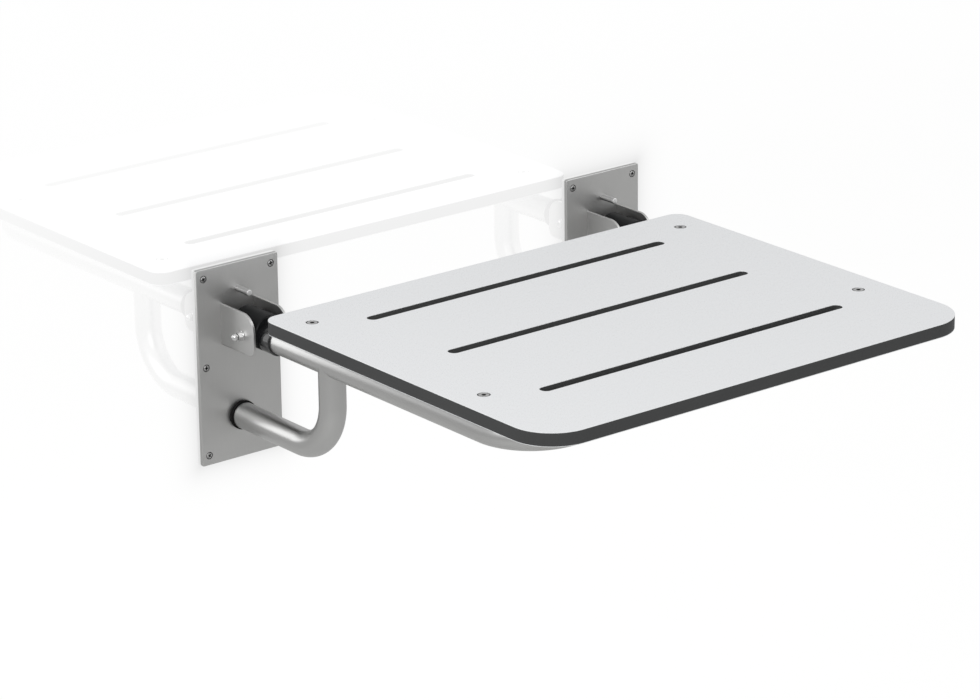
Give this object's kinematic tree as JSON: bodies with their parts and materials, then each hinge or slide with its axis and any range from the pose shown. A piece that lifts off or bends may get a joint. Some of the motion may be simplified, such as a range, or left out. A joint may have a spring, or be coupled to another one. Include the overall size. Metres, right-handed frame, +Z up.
{
  "type": "fold-down wall seat",
  "caption": "Fold-down wall seat: a slotted board on a bent tube frame, hinged between lugs on wall plates and propped by curved legs that bear on the plates.",
  "frame": {"origin": "on the wall surface, midway between the wall plates and at half their height", "axes": "+X along the wall, to the right as seen from the room; +Y into the wall, so the seat reaches towards -Y; +Z up"},
  "size_m": [0.532, 0.522, 0.192],
  "materials": {
    "satin_steel": "satin stainless steel",
    "bright_steel": "bright stainless steel",
    "black_nylon": "black moulded nylon",
    "black_rubber": "black moulded rubber",
    "dark_core": "dark grey compact laminate core, matt sawn edge",
    "pale_laminate": "smooth pale grey laminate sheet"
  },
  "bodies": {
    "wall_side": {"left_wall_plate": "satin_steel", "right_wall_plate": "satin_steel", "left_outer_lug": "satin_steel", "left_inner_lug": "satin_steel", "right_outer_lug": "satin_steel", "right_inner_lug": "satin_steel", "left_stop_pin": "bright_steel", "right_stop_pin": "bright_steel", "left_wall_screws": "bright_steel", "right_wall_screws": "bright_steel", "left_pivot_bolt": "bright_steel", "right_pivot_bolt": "bright_steel", "left_pivot_sleeve": "bright_steel", "right_pivot_sleeve": "bright_steel", "left_pivot_washers": "bright_steel", "right_pivot_washers": "bright_steel", "left_cap_nut": "bright_steel", "right_cap_nut": "bright_steel"},
    "seat": {"left_hinge_block": "black_nylon", "right_hinge_block": "black_nylon", "left_block_screw": "bright_steel", "right_block_screw": "bright_steel", "seat_frame": "satin_steel", "left_support_leg": "satin_steel", "right_support_leg": "satin_steel", "left_end_cap": "black_rubber", "right_end_cap": "black_rubber", "rear_left_boss": "satin_steel", "rear_right_boss": "satin_steel", "front_left_boss": "satin_steel", "front_right_boss": "satin_steel", "seat_core": "dark_core", "seat_top_face": "pale_laminate", "seat_bottom_face": "pale_laminate", "seat_screws": "bright_steel"}
  },
  "joints": [
    {"name": "seat_fold", "type": "hinge", "parent": "wall_side", "child": "seat", "pos_m": [0, -0.037, 0.0368], "axis": [-1, 0, 0], "range_deg": [0, 90]}
  ]
}
